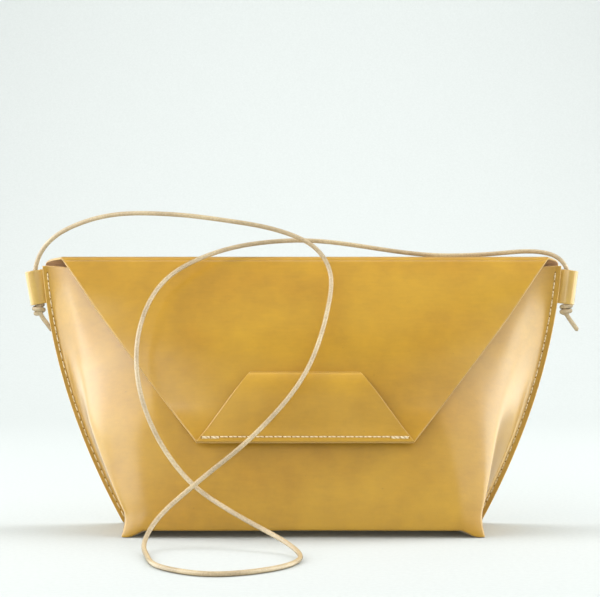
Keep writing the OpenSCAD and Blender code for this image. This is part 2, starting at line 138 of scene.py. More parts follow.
def smooth(s):
    """Rises from 0 to 1 with level ends."""
    s = np.clip(s, 0, 1)
    return s * s * (3 - 2 * s)


def bend(a, b, c, s):
    """A quadratic curve from a to c that leaves and arrives along the lines to b."""
    return (1 - s) ** 2 * a + 2 * s * (1 - s) * b + s * s * c


def unit(p):
    return p / np.linalg.norm(p, axis=-1, keepdims=True)


def seam_x(z):
    """Half width of the bag at height z: a straight taper with a bow outwards."""
    v = z / SEAM_H
    return BASE_HALF + (TOP_HALF - BASE_HALF) * (v + SEAM_BOW * v * (1 - v))


def sway(x, z):
    """Millimetres by which soft leather stands off its even shape: three long waves that cross."""
    return (
        0.35 * np.sin(x / 31 + 0.6) * np.sin(z / 42 + 1.1)
        + 0.2 * np.sin(x / 17 - z / 23 + 2.0)
        + 0.1 * np.sin(x / 9.5 + z / 13 + 0.4)
    )


def piece(name, points, faces, **numbers):
    """A smooth mesh object from points in millimetres, its faces, and one number per point by name."""
    mesh = bpy.data.meshes.new(name)
    mesh.from_pydata((points * MM).tolist(), [], [list(face) for face in faces])
    mesh.polygons.foreach_set("use_smooth", np.ones(len(mesh.polygons), bool))
    for key, values in numbers.items():
        values = np.ravel(values).astype(np.float32)
        mesh.attributes.new(key, "FLOAT", "POINT").data.foreach_set("value", values)
    thing = bpy.data.objects.new(name, mesh)
    bpy.context.scene.collection.objects.link(thing)
    return thing


def net(rows, columns, ring=False):
    """Four-cornered faces of a grid of points stored row by row; a ring closes each row on itself."""
    across = columns if ring else columns - 1
    r, c = np.meshgrid(np.arange(rows - 1), np.arange(across), indexing="ij")
    here = (r * columns + c).ravel()
    beside = (r * columns + (c + 1) % columns).ravel()
    return np.stack([here, beside, beside + columns, here + columns], axis=1)


def normals_of(grid):
    """Unit normals of a grid of points, from the cross product of its two slopes."""
    return unit(np.cross(np.gradient(grid, axis=1), np.gradient(grid, axis=0)))


def sheet(name, grain, edge_mm, thickness, normal=None, flip=False, joins=()):
    """A sheet of leather from the grid of its grain side and each point's distance from a cut edge.

    Both sides draw together along a quarter circle of RIM_R at a cut edge, and a strip joins them all
    round: sink = RIM_R - sqrt(RIM_R^2 - (RIM_R - edge_mm)^2). The strip is flat along the rows in joins, 0
    the first and 1 the last, where the sheet goes on as another piece.
    """
    rows, columns = grain.shape[:2]
    normal = normals_of(grain) * (-1 if flip else 1) if normal is None else normal
    radius = min(RIM_R, thickness * 0.45)
    inward = np.clip(radius - edge_mm, 0, radius)
    sink = (radius - np.sqrt(radius**2 - inward**2))[..., None]
    outer = grain - normal * sink
    inner = grain - normal * (thickness - sink)
    count = rows * columns
    index = np.arange(count).reshape(rows, columns)
    around = np.concatenate([index[0, :-1], index[:-1, -1], index[-1, :0:-1], index[:0:-1, 0]])
    ahead = np.roll(around, -1)
    faces = net(rows, columns)
    strip = np.stack([ahead, around, around + count, ahead + count], axis=1)
    faces = np.concatenate([faces, faces[:, ::-1] + count, strip])
    points = np.concatenate([outer.reshape(-1, 3), inner.reshape(-1, 3)])
    flesh = np.concatenate([np.zeros(count), np.ones(count)])
    faces = faces[:, ::-1] if flip else faces
    made = piece(name, points, faces, edge=np.tile(np.ravel(edge_mm), 2), flesh=flesh)
    for end in joins:
        first = len(faces) - len(strip) + end * (columns + rows - 2)
        for polygon in made.data.polygons[first:first + columns - 1]:
            polygon.use_smooth = False
    return made


def half_outline(v, side):
    """Half of the front's outline at each share v of its height, from the flange's edge to the middle.

    Flange and side wall meet in a tight bend. The wall turns into the front along a quadratic corner,
    which is crisp at the foot and slack at the mouth and takes more of the front than of the wall. The
    crease's distance from the middle is start + spread z / hypot(z, run) + flare (1 - z / flare_h)^1.5,
    less the tuck.
    """
    v = v[:, None, None]
    z = v * SEAM_H
    depth = mix(SEAM_Y - FRONT_Y, MOUTH_GAP, v**BELLY)
    start, spread, run, flare, flare_h, _, tuck = CREASES[side]
    crease = start + spread * z / np.hypot(z, run) + flare * np.clip(1 - z / flare_h, 0, 1) ** 1.5
    crease = crease - tuck * smooth((z - TUCK_Z) / TUCK_RUN)

    def at(x, y):
        return np.concatenate(np.broadcast_arrays(x, y), axis=2)

    edge = at(seam_x(z), SEAM_Y)
    root = at(seam_x(z) - FLANGE[side], SEAM_Y)
    corner = at(crease, SEAM_Y - depth)
    middle = at(0 * crease, SEAM_Y - depth)
    wall = np.linalg.norm(corner - root, axis=2, keepdims=True)
    to_edge = root + unit(edge - root) * (FLANGE[side] - NEAR_EDGE[-1])
    to_wall = root + unit(corner - root) * np.minimum(ROOT_ARM[0] + ROOT_ARM[1] * v, 0.4 * wall)
    wall_arm = np.minimum(WALL_ARM[0] + WALL_ARM[1] * v**2, 0.58 * wall)
    before = corner + unit(root - corner) * wall_arm
    front_arm = np.minimum(FRONT_ARM[0] + FRONT_ARM[1] * v**1.7, 0.9 * crease)
    after = corner + unit(middle - corner) * front_arm

    def steps(count):
        return (np.arange(1, count + 1) / count)[None, :, None]

    line = np.concatenate([
        edge + unit(root - edge) * NEAR_EDGE[None, :, None],
        bend(to_edge, root, to_wall, steps(10)),
        mix(to_wall, before, steps(12)),
        bend(before, corner, after, steps(30)),
        mix(after, middle, steps(26)),
    ], axis=1)
    out = np.clip((line[..., 0] - FLAT_HALF) / (crease[..., 0] - FLAT_HALF), 0, 1)
    near = np.clip((line[..., 0] - crease[..., 0]) / SET_BACK_RUN + 1, 0, 1)
    set_back = SET_BACK * (1 - v[..., 0]) * near**2 * smooth(z[..., 0] / SET_BACK_RUN)
    back = CROWN * v[..., 0] * out**2 + set_back
    line[..., 1] += back * (SEAM_Y - line[..., 1]) / depth[..., 0]
    line[..., 0] *= side
    return line


def outline(v):
    """The front's whole outline, left to right, with its bends evened out by averaging; the flanges stay."""
    line = np.concatenate([half_outline(v, -1), half_outline(v, 1)[:, -2::-1]], axis=1)
    held = len(NEAR_EDGE)
    for _ in range(10):
        between = (line[:, held - 1:-held - 1] + line[:, held + 1:-held + 1]) / 2
        line[:, held:-held] = (line[:, held:-held] + between) / 2
    return line


def rim_height(x, y):
    """Height of the lower rim: on the floor at the four corners and arched between, less at the sides."""
    left, right = CREASES[-1], CREASES[1]
    reach = np.where(x < 0, left[5], right[5])
    tip_x = np.where(x < 0, left[0] + left[3], right[0] + right[3])
    from_tip = np.hypot(np.abs(x) - tip_x, y - FRONT_Y) - TIP_R
    tip = 1 - (1 - np.clip(from_tip / reach, 0, 1)) ** 2
    under_side = smooth((np.abs(x) - tip_x + 16) / 12)
    return ARCH * (1 - 0.75 * under_side) * np.minimum(tip, smooth((SEAM_Y - y) / 18))


# Shares of the height at which the front has a row of points, close together under the cut mouth
shares = np.concatenate([1 - NEAR_EDGE[:7] / SEAM_H, np.linspace(1 - 3 / SEAM_H, 0.01, 88)])
walls = outline(shares)
foot = outline(np.array([0.0]))[0]
foot_z = rim_height(foot[:, 0], foot[:, 1])
across = np.clip(np.abs(walls[0, :, 0]) / (TOP_HALF - 7), 0, 1)
mouth_z = SEAM_H - MOUTH_DIP * (1 - across**2)
walls = np.concatenate([walls, mix(foot_z, mouth_z, shares[:, None])[..., None]], axis=2)

# The lower rim rolls under into the base, whose rows run to the seam at the back
rim = np.column_stack([foot, foot_z])
run = np.concatenate([[0], np.cumsum(np.linalg.norm(np.diff(foot, axis=0), axis=1))])
place = run / run[-1] * 2 - 1
heel = np.column_stack([place * (BASE_HALF - 6), np.full_like(place, JOIN_Y), foot_z])
heel[:, 2] = ARCH * smooth((1 - np.abs(place)) / 0.04)
inward = heel - rim
reach = np.maximum(np.linalg.norm(inward, axis=1, keepdims=True), 1e-6)
rolled_to = rim + inward * np.minimum(1, ROLL / reach)
rolled = np.stack([bend(walls[-1], rim, rolled_to, s) for s in np.linspace(0, 1, 8)[1:]])
base = np.stack([mix(rolled_to, heel, s) for s in np.linspace(0, 1, 14)[1:]])
rise = smooth(np.linspace(0, 1, 14)[1:] * 3)[:, None]
base[..., 2] = mix(rolled_to[:, 2], heel[:, 2], rise)
front_grid = np.concatenate([walls, rolled, base])
loose = smooth((SEAM_Y - front_grid[..., 1]) / 12)
front_grid[..., 1] += sway(front_grid[..., 0], front_grid[..., 2]) * loose
from_side = np.full(front_grid.shape[:2], FAR)
from_side[:, :len(NEAR_EDGE)] = NEAR_EDGE
from_side[:, -len(NEAR_EDGE):] = NEAR_EDGE[::-1]
from_mouth = np.full(front_grid.shape[:2], FAR)
from_mouth[:len(shares)] = (1 - shares[:, None]) * (mouth_z - foot_z)
stitch_in = np.where(front_grid[..., 0] < 0, STITCH_IN[-1], STITCH_IN[1])
# The thread pulls a groove 0.15 mm deep into the flange
groove = 0.15 * np.exp(-(((from_side - stitch_in) / 0.6) ** 2))
front_grid[..., 1] += groove
front_leather = sheet("front_leather", front_grid, np.minimum(from_side, from_mouth), LEATHER_T, flip=True)


def srgb(code):
    """A hex colour as the linear values that a shader works in."""
    c = np.array([int(code[i:i + 2], 16) for i in (1, 3, 5)]) / 255
    linear = np.where(c <= 0.04045, c / 12.92, ((c + 0.055) / 1.055) ** 2.4)
    return (*linear.tolist(), 1.0)


def add(tree, kind, wires=None, **settings):
    """Adds a shader node with its settings, which are properties or socket values.

    wires gives what goes into an input, by number or name: another node's output or a constant.
    """
    made = tree.nodes.new("ShaderNode" + kind)
    for key, value in settings.items():
        if hasattr(made, key):
            setattr(made, key, value)
        else:
            made.inputs[key.replace("_", " ")].default_value = value
    for key, source in (wires or {}).items():
        if isinstance(source, (int, float, tuple)):
            made.inputs[key].default_value = source
        else:
            tree.links.new(source, made.inputs[key])
    return made


def material(name):
    """A new material with its tree and its Principled shader."""
    made = bpy.data.materials.new(name)
    made.use_nodes = True
    return made, made.node_tree, made.node_tree.nodes["Principled BSDF"]


def ramp(tree, source, stops):
    """A colour ramp of grey or coloured stops, each a position and a value or a hex colour."""
    made = add(tree, "ValToRGB", {"Fac": source})
    points = made.color_ramp.elements
    while len(points) < len(stops):
        points.new(0.5)
    for point, (position, value) in zip(points, stops):
        point.position = position
        point.color = srgb(value) if isinstance(value, str) else (value, value, value, 1)
    return made.outputs["Color"]


def blend_colour(tree, share, a, b, how="MIX"):
    """Mixes two colours, each an output or a hex value."""
    made = add(tree, "Mix", data_type="RGBA", blend_type=how)
    for socket, value in ((made.inputs[0], share), (made.inputs[6], a), (made.inputs[7], b)):
        if isinstance(value, str):
            socket.default_value = srgb(value)
        elif isinstance(value, (int, float)):
            socket.default_value = value
        else:
            tree.links.new(value, socket)
    return made.outputs[2]


def noise(tree, at, size, **settings):
    """Soft noise with patches about size metres across."""
    return add(tree, "TexNoise", {"Vector": at}, Scale=1 / size, **settings).outputs["Fac"]


def cells(tree, at, size, **settings):
    """Distance, as a share of size, to the nearest of scattered points about size metres apart."""
    return add(tree, "TexVoronoi", {"Vector": at}, Scale=1 / size, **settings).outputs["Distance"]


def product(tree, a, b):
    """The product of two values, each an output or a number."""
    return add(tree, "Math", {0: a, 1: b}, operation="MULTIPLY").outputs[0]


def emboss(tree, shader, height, strength, distance):
    """Makes a pattern stand up from the surface by a distance in metres."""
    bump = add(tree, "Bump", {"Height": height}, Strength=strength, Distance=distance)
    tree.links.new(bump.outputs["Normal"], shader.inputs["Normal"])


def tanned_leather(name, fair, deep, edge="#E2BC6E", flesh="#BC9064"):
    """Vegetable-tanned cowhide: drum-dyed in pale oak-bark tones and waxed, so that it has a soft sheen.

    The hide takes the tan unevenly, which gives clouds 60 mm and 12 mm across. Its grain shows as pores
    0.7 mm apart, faint creases and a few healed marks. Cut edges are paler, and the flesh side is brown
    and matt. The coat is the wax. Its index is above a real wax's, so that the side walls shine as pale as
    in the photograph.
    """
    made, tree, shader = material(name)
    at = add(tree, "TexCoord").outputs["Object"]
    clouds = noise(tree, at, 0.06, Detail=3.0, Roughness=0.55)
    tint = blend_colour(tree, ramp(tree, clouds, [(0.36, 0.0), (0.64, 1.0)]), deep, fair)
    specks = noise(tree, at, 0.012, Detail=4.0, Roughness=0.6)
    specks = ramp(tree, specks, [(0.35, "#8F6420"), (0.65, "#F2D489")])
    tint = blend_colour(tree, 0.1, tint, specks, "OVERLAY")
    drawn = add(tree, "VectorMath", {0: at, 1: (0.2, 1, 1)}, operation="MULTIPLY").outputs[0]
    streaks = noise(tree, drawn, 0.0022, Detail=4.0, Roughness=0.7)
    streaks = ramp(tree, streaks, [(0.3, "#8A5F1C"), (0.7, "#FFE9AE")])
    tint = blend_colour(tree, 0.06, tint, streaks, "OVERLAY")
    marks = cells(tree, at, 0.016, Randomness=1.0)
    marks = ramp(tree, marks, [(0.0, 1.0), (0.022, 0.6), (0.045, 0.0)])
    tint = blend_colour(tree, product(tree, marks, 0.3), tint, "#7A4A14")
    edge_mm = add(tree, "Attribute", attribute_name="edge").outputs["Fac"]
    cut = ramp(tree, product(tree, edge_mm, 0.5), [(0.0, 1.0), (0.06, 0.8), (0.2, 0.0)])
    tint = blend_colour(tree, cut, tint, edge)
    suede = noise(tree, at, 0.0015, Detail=3.0)
    inside = blend_colour(tree, suede, flesh, "#A1764C")
    uncut = add(tree, "Math", {0: 1.0, 1: cut}, operation="SUBTRACT").outputs[0]
    flesh_side = add(tree, "Attribute", attribute_name="flesh").outputs["Fac"]
    flesh_side = product(tree, flesh_side, uncut)
    tree.links.new(blend_colour(tree, flesh_side, tint, inside), shader.inputs["Base Color"])
    pores = cells(tree, at, 0.0007, Randomness=0.9)
    creases = noise(tree, at, 0.004, Detail=5.0, Roughness=0.65, Distortion=0.6)
    grain = add(tree, "Math", {0: pores, 1: 0.35, 2: creases}, operation="MULTIPLY_ADD").outputs[0]
    emboss(tree, shader, grain, 0.12, 0.0006)
    gloss = add(tree, "MapRange", {"Value": clouds}, To_Min=0.37, To_Max=0.45).outputs[0]
    gloss = add(tree, "Math", {0: flesh_side, 1: 0.4, 2: gloss}, operation="MULTIPLY_ADD").outputs[0]
    tree.links.new(gloss, shader.inputs["Roughness"])
    shader.inputs["IOR"].default_value = 1.5
    shader.inputs["Coat Weight"].default_value = 1.0
    shader.inputs["Coat IOR"].default_value = 1.9
    shader.inputs["Coat Roughness"].default_value = 0.28
    shader.inputs["Sheen Weight"].default_value = 0.25
    shader.inputs["Sheen Roughness"].default_value = 0.4
    return made


body_leather = tanned_leather("vegetable_tanned_body", "#C79C20", "#BC8F18")
front_leather.data.materials.append(body_leather)
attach(front_leather, "bag_body")
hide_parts("front_panel")


# The long piece: back, fold and flap are one length of the same leather. It stands flat at the back, bends
# over the mouth without a crease, and tapers down the front as the flap, whose edges are cut and rounded.
FLAP_BOTTOM_HALF = 69.0
FLAP_BOTTOM_Z = 60.0
# How far the flap hangs to the right
FLAP_SHIFT = 2.0
# Half the fold's width in front and at the back, its radius, and its end's angle off upright
FOLD_TOP_HALF = 164.0
FOLD_BACK_HALF = 172.5
FOLD_R = 5.0
FOLD_ANGLE = math.radians(36)
# The snap's height, half the height of the flat stretch under it, and how far the flap stands off there
SNAP_Z = 86.0
SNAP_FACET = 12.0
SNAP_STAND = 4.6
# How far the flap stays flat above the snap, and how far its slanting edges close in on the front: this
# grows over a height above the flap's lower edge and fades towards a height near the fold
FLAP_FLAT = 22.0
FLAP_CUP = 4.6
CUP_RISE = 26.0
CUP_TOP_Z = 168.0
CUP_FADE = 30.0
FOLD_AT = np.array([BACK_Y - LEATHER_T / 2 - FOLD_R, SEAM_H])
FOLD_TOP_Z = SEAM_H + FOLD_R + LEATHER_T / 2


def front_depth(z):
    """Depth of the bag at height z in the middle of the front."""
    low = ARCH
    high = SEAM_H - MOUTH_DIP
    return mix(SEAM_Y - FRONT_Y, MOUTH_GAP, np.clip((z - low) / (high - low), 0, 1) ** BELLY)


facet_z = np.array([SNAP_Z - SNAP_FACET, SNAP_Z + SNAP_FACET])
facet = np.column_stack([SEAM_Y - front_depth(facet_z), facet_z])
UP_FLAP = unit(facet[1] - facet[0])
OUT_FLAP = np.array([-UP_FLAP[1], UP_FLAP[0]])
SNAP_AT = facet.mean(axis=0)
FLAP_AT = SNAP_AT + OUT_FLAP * (SNAP_STAND + LEATHER_T)
flap_bend = FLAP_AT - OUT_FLAP * LEATHER_T / 2 + UP_FLAP * FLAP_FLAT
flap_foot = FLAP_AT - OUT_FLAP * LEATHER_T / 2 - UP_FLAP * (FLAP_AT[1] - FLAP_BOTTOM_Z) / UP_FLAP[1]
fold_end = FOLD_AT + FOLD_R * np.array([-math.cos(FOLD_ANGLE), math.sin(FOLD_ANGLE)])
fold_dir = np.array([math.sin(FOLD_ANGLE), math.cos(FOLD_ANGLE)])
gap = fold_end - flap_bend
# The curve between them turns where the two straight lines would meet
crossing = UP_FLAP[0] * fold_dir[1] - UP_FLAP[1] * fold_dir[0]
bend_mid = flap_bend + UP_FLAP * (gap[0] * fold_dir[1] - gap[1] * fold_dir[0]) / crossing

turn = np.linspace(0, math.pi - FOLD_ANGLE, 64)[:, None]
fold_line = FOLD_AT + FOLD_R * np.concatenate([np.cos(turn), np.sin(turn)], axis=1)
back_z = [NEAR_EDGE[:7], np.linspace(3, SEAM_H - 4, 60), np.linspace(SEAM_H - 3.4, SEAM_H, 7)]
back_z = np.concatenate(back_z)
back_line = np.column_stack([np.full_like(back_z, BACK_Y - LEATHER_T / 2), back_z])
curved = bend(fold_end, bend_mid, flap_bend, np.linspace(0, 1, 50)[:, None])
down = np.linalg.norm(flap_bend - flap_foot)
flat_s = np.concatenate([np.linspace(0, down - 2.4, 34), down - NEAR_EDGE[6::-1]])
flat = flap_bend - UP_FLAP * flat_s[:, None]
middle_line = np.concatenate([back_line, fold_line[1:], curved[1:], flat[1:]])
n_back = len(back_line)
n_fold = n_back + len(fold_line) - 1


def strap(line, half, shift, thickness, columns=121):
    """A strap on a middle line of (y, z) points: its grain side, normals and distance from its side cuts.

    The grain side lies half a thickness to the right of the line's way, seen from +X.
    """
    along = unit(np.gradient(line, axis=0))
    out = np.column_stack([0 * line[:, 0], along[:, 1], -along[:, 0]])
    lean = np.hypot(1, np.gradient(half) / np.linalg.norm(np.gradient(line, axis=0), axis=1))
    inset = NEAR_EDGE * lean[:, None]
    inner = np.linspace(-1, 1, columns) * (half[:, None] - inset[:, -1:] - 1)
    x = np.concatenate([inset - half[:, None], inner, (half[:, None] - inset)[:, ::-1]], axis=1)
    line = line + out[:, 1:] * thickness / 2
    y, z = (np.repeat(c[:, None], x.shape[1], 1) for c in line.T)
    grid = np.stack([x + np.reshape(shift, (-1, 1)), y, z], axis=2)
    from_side = np.full(columns + 2 * len(NEAR_EDGE), FAR)
    from_side[:len(NEAR_EDGE)] = NEAR_EDGE
    from_side[-len(NEAR_EDGE):] = NEAR_EDGE[::-1]
    return grid, np.repeat(out[:, None], x.shape[1], 1), np.repeat(from_side[None], len(line), 0)


def half_flap(z):
    """Half width of the flap at height z: its two cuts run straight from the fold to the bottom corners."""
    slope = (FOLD_TOP_HALF - FLAP_BOTTOM_HALF) / (FOLD_TOP_Z - FLAP_BOTTOM_Z)
    return FLAP_BOTTOM_HALF + (z - FLAP_BOTTOM_Z) * slope


def cup(x, z):
    """Millimetres by which the flap's slanting edges close in on the front, as worn leather does."""
    out = np.clip(np.abs(x - FLAP_SHIFT) / half_flap(z), 0, 1)
    return FLAP_CUP * out**2.5 * smooth((z - FLAP_BOTTOM_Z) / CUP_RISE) * smooth((CUP_TOP_Z - z) / CUP_FADE)


z = middle_line[:, 1]
flap_half = half_flap(z)
back_half = mix(seam_x(np.clip(z, 0, SEAM_H)), FOLD_BACK_HALF, np.clip(z - (SEAM_H - 3), 0, 3) / 3)
over = smooth((BACK_Y - middle_line[:, 0] - 1) / (BACK_Y - 1 - FOLD_AT[0]))
over[:n_back] = 0
over[n_fold:] = 1
long_half = mix(back_half, flap_half, over)
long_grid, long_out, from_side = strap(middle_line, long_half, FLAP_SHIFT * over, LEATHER_T)
# The flap and the back sway a little, but not at the fold, and the back not along its seams
number = np.arange(len(z))
hang = smooth((FOLD_TOP_Z - 12 - z) / 25) * (number >= n_fold)
stand = smooth((z - 4) / 20) * smooth((SEAM_H - z) / 20) * (number < n_back)
calm = smooth((seam_x(np.clip(z, 0, SEAM_H))[:, None] - 9 - np.abs(long_grid[..., 0])) / 15)
stray = sway(long_grid[..., 0], long_grid[..., 2]) * (0.45 * hang[:, None] + 0.7 * stand[:, None] * calm)
stray -= cup(long_grid[..., 0], np.repeat(z[:, None], long_grid.shape[1], 1)) * (number >= n_fold)[:, None]
long_grid = long_grid + long_out * stray[..., None]
from_end = np.full(len(z), FAR)
from_end[:n_back] = back_z
from_end[n_fold:] = np.linalg.norm(middle_line[n_fold:] - middle_line[-1], axis=1)
edge_mm = np.minimum(from_side, from_end[:, None])
for name, body, node, first, last, joins in (
    ("back_leather", "bag_body", "back_panel", 0, n_back, [1]),
    ("fold_leather", None, "top_fold", n_back - 1, n_fold, [0, 1]),
    ("flap_leather", "flap_body", "flap", n_fold - 1, len(z), [0]),
):
    cut = slice(first, last)
    made = sheet(name, long_grid[cut], edge_mm[cut], LEATHER_T, normal=long_out[cut], flip=True, joins=joins)
    made.data.materials.append(body_leather)
    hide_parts(node)
    if body:
        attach(made, body)
    else:
        # The fold bends from the back's top edge to where the flap begins
        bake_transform(made)


# The tab: a thinner strap doubled over at its top, cut slanting through both layers and sewn along the
# flap's lower edge. Above, it stands off over the snap's washer, and its folded top is soft and round.
TAB_T = 1.2
TAB_H = 46.0
TAB_TOP_HALF = 35.0
TAB_SEWN = 6.5
TAB_STITCH_UP = 3.2
TAB_LIFT = TAB_T / 2 + 1.45
TAB_LAYER = TAB_T + 0.1
# How far the front layer bulges towards its top, and over what height its shoulder rounds off
TAB_SOFT = 3.0
TAB_SHOULDER = 10.0
TAB_LOW = -(FLAP_AT[1] - FLAP_BOTTOM_Z) / UP_FLAP[1]


def on_flap(out, up):
    """(y, z) of a point that stands out from the flap's outer face at the snap and up along it."""
    return FLAP_AT + np.multiply.outer(out, OUT_FLAP) + np.multiply.outer(up, UP_FLAP)


def eased(line, times):
    """Evens out a line's corners by averaging each point with its neighbours."""
    for _ in range(times):
        line = np.concatenate([line[:1], (line[:-2] + 2 * line[1:-1] + line[2:]) / 4, line[-1:]])
    return line


fold_up = TAB_LOW + TAB_H - TAB_LAYER / 2 - TAB_T / 2
up = np.concatenate([TAB_LOW + NEAR_EDGE[:7], np.arange(TAB_LOW + 1.8, fold_up, 0.8)])
lift_up = [TAB_LOW, TAB_LOW + TAB_SEWN, TAB_LOW + 16, fold_up]
lift = np.interp(up, lift_up, [TAB_T / 2, TAB_T / 2, TAB_LIFT, TAB_LIFT])
back_layer = eased(np.column_stack([lift, up]), 12)
angle = np.linspace(0, math.pi, 13)[1:-1]
bend_out = TAB_LIFT + TAB_LAYER / 2 * (1 - np.cos(angle))
bend_up = fold_up + TAB_LAYER / 2 * np.sin(angle)
tab_bend = np.column_stack([bend_out, bend_up])
front_layer = back_layer[::-1] + [TAB_LAYER, 0]
shoulder = np.sqrt(1 - np.clip((front_layer[:, 1] - fold_up) / TAB_SHOULDER + 1, 0, 1) ** 2)
front_layer[:, 0] += TAB_SOFT * shoulder * smooth((front_layer[:, 1] - TAB_LOW - 8) / 24)
tab_line = np.concatenate([back_layer, tab_bend, front_layer])
tab_half = FLAP_BOTTOM_HALF - (tab_line[:, 1] - TAB_LOW) * (FLAP_BOTTOM_HALF - TAB_TOP_HALF) / TAB_H
tab_grid, tab_out, from_side = strap(on_flap(*tab_line.T), tab_half, FLAP_SHIFT, TAB_T)
from_low = np.abs(tab_line[:, 1] - TAB_LOW)[:, None]
puff = 0.28 * smooth((TAB_LOW + TAB_H - tab_line[:, 1]) / 3) * smooth((tab_line[:, 1] - TAB_LOW - 3) / 8)
stray = (0.4 + sway(tab_grid[..., 0] * 1.7, tab_grid[..., 2] * 1.4)) * puff[:, None]
tab_grid = tab_grid + tab_out * stray[..., None]
tab_grid[..., 1:] -= OUT_FLAP * cup(tab_grid[..., 0], tab_grid[..., 2])[..., None]
pressed = 0.3 * np.exp(-(((tab_line[:, 1] - TAB_LOW - TAB_STITCH_UP) / 0.9) ** 2))[:, None]
tab_grid = tab_grid - tab_out * pressed[..., None]
tab = sheet("tab_leather", tab_grid, np.minimum(from_side, from_low), TAB_T, normal=tab_out, flip=True)
tab.data.materials.append(tanned_leather("vegetable_tanned_tab", "#CDA12C", "#C29620", edge="#CB9F3C"))
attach(tab, "flap_body")
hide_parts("tab")


# The sewing: waxed linen thread in saddle stitch, the same on both faces. Awl holes 6 mm apart lie between
# the stitches as dark ovals of painted shade; each stitch lies proud and dips into its holes.
STITCH_PITCH = 6.0
THREAD_W = 0.85
THREAD_H = 0.75
HOLE_L = 0.8
HOLE_W = 0.58


def stitches(name, at, along, out, length):
    """A row of stitches at given places: each a flattened tube, thinner at its ends, which sink in.

    Its middle stands 0.12 - 0.75 (1 - sqrt(1 - s^4)) mm off the leather, s from -1 to 1 along the stitch.
    """
    rings = 11
    sides = 8
    at, along, out, length = np.broadcast_arrays(at, along, out, np.reshape(length, (-1, 1)))
    s = np.sin(np.linspace(-1, 1, rings) * math.pi / 2)
    a = np.arange(sides) / sides * math.tau
    side = np.cross(along, out)
    full = np.sqrt(np.clip(1 - s**4, 0, 1))
    middle = at[:, None] + along[:, None] * (s[:, None] * length[:, None, :1] / 2)
    middle = middle + out[:, None] * (0.12 - 0.75 * (1 - full))[:, None]
    ring = side[:, None, None] * (np.cos(a)[:, None] * THREAD_W / 2)
    ring = ring + out[:, None, None] * (np.sin(a)[:, None] * THREAD_H / 2)
    points = middle[:, :, None] + ring * (0.35 + 0.65 * full)[:, None, None]
    faces = np.concatenate([net(rings, sides, ring=True) + rings * sides * i for i in range(len(at))])
    return piece(name, points.reshape(-1, 3), faces)


def hole_shade_discs(name, at, along, out):
    """Painted hole shade: small dark ovals where the thread goes through the leather, each a fan of
    triangles just above it.
    """
    sides = 12
    a = np.arange(sides) / sides * math.tau
    side = np.cross(along, out)
    rim = at[:, None] + along[:, None] * (np.cos(a)[:, None] * HOLE_L / 2)
    rim = rim + side[:, None] * (np.sin(a)[:, None] * HOLE_W / 2)
    points = np.concatenate([rim, at[:, None]], axis=1) + out[:, None] * 0.04
    fan = np.array([[i, (i + 1) % sides, sides] for i in range(sides)])
    faces = np.concatenate([fan + (sides + 1) * i for i in range(len(at))])
    return piece(name, points.reshape(-1, 3), faces)


def linen_thread():
    """Waxed linen: cream, its twist crossing a stitch about every 3 mm, with a dull shine from the wax."""
    made, tree, shader = material("waxed_linen")
    at = add(tree, "TexCoord").outputs["Object"]
    wave = add(tree, "TexWave", {"Vector": at}, bands_direction="DIAGONAL", Scale=1 / 0.0045, Distortion=1.5)
    strands = wave.outputs["Fac"]
    tree.links.new(ramp(tree, strands, [(0.1, "#CFB684"), (0.6, "#F2E1BC")]), shader.inputs["Base Color"])
    emboss(tree, shader, strands, 0.5, 0.0001)
    shader.inputs["Roughness"].default_value = 0.55
    return made


def painted_hole_shade():
    """Painted shade of an awl hole's inside in brown leather: dark brown and quite matt."""
    made, tree, shader = material("awl_hole_painted_shade")
    at = add(tree, "TexCoord").outputs["Object"]
    depth = noise(tree, at, 0.003)
    tree.links.new(ramp(tree, depth, [(0.3, "#4A3010"), (0.7, "#7A5420")]), shader.inputs["Base Color"])
    shader.inputs["Roughness"].default_value = 0.95
    return made


thread = linen_thread()
hole_shade = painted_hole_shade()
LOOP_Z = 159.5
LOOP_H = 23.0
LOOP_T = 1.4


def sew(name, at, along, out, body, node, length=5.4):
    """Sews a row: stitches at the places, and ovals of painted hole shade half a pitch before each and after
    the last.
    """
    made = stitches(name, at, along, out, length)
    ends = np.concatenate([at - along * STITCH_PITCH / 2, at[-1:] + along[-1:] * STITCH_PITCH / 2])
    ends_along = np.concatenate([along, along[-1:]])
    ends_out = np.concatenate([out, out[-1:]])
    # Dark ovals of painted shade where the awl holes are
    holes = hole_shade_discs(name + "_hole_shades", ends, ends_along, ends_out)
    made.data.materials.append(thread)
    holes.data.materials.append(hole_shade)
    for thing in (made, holes):
        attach(thing, body)
    if node:
        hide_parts(node)


# The seams: stitches at even steps along the bowed edge, which on the back run over the loops' two layers
fine = np.linspace(0, SEAM_H, 400)
seam_line = np.column_stack([seam_x(fine), fine])
seam_run = np.concatenate([[0], np.cumsum(np.linalg.norm(np.diff(seam_line, axis=0), axis=1))])
count = int((seam_run[-1] - 3) // STITCH_PITCH)
place = (seam_run[-1] - (count - 1) * STITCH_PITCH) / 2 + np.arange(count) * STITCH_PITCH
seam_at = np.column_stack([np.interp(place, seam_run, seam_line[:, i]) for i in (0, 1)])
slopes = [np.interp(place, seam_run, np.gradient(seam_line[:, i], seam_run)) for i in (0, 1)]
tangent = unit(np.column_stack(slopes))
for side, label in ((-1, "left"), (1, "right")):
    along = np.column_stack([side * tangent[:, 0], 0 * place, tangent[:, 1]])
    for face, name in ((-1, "front"), (1, "back")):
        under_loop = (np.abs(seam_at[:, 1] - LOOP_Z) < LOOP_H / 2) & (face > 0)
        depth = SEAM_Y + 0.1 if face < 0 else np.where(under_loop, BACK_Y + 2 * LOOP_T, BACK_Y - 0.05)
        at = np.column_stack([side * (seam_at[:, 0] - STITCH_IN[side]), depth + 0 * place, seam_at[:, 1]])
        out = np.tile([0.0, face, 0.0], (count, 1))
        node = label + "_seam_thread" if face < 0 else None
        sew(label + "_stitches_" + name, at, along, out, "bag_body", node)

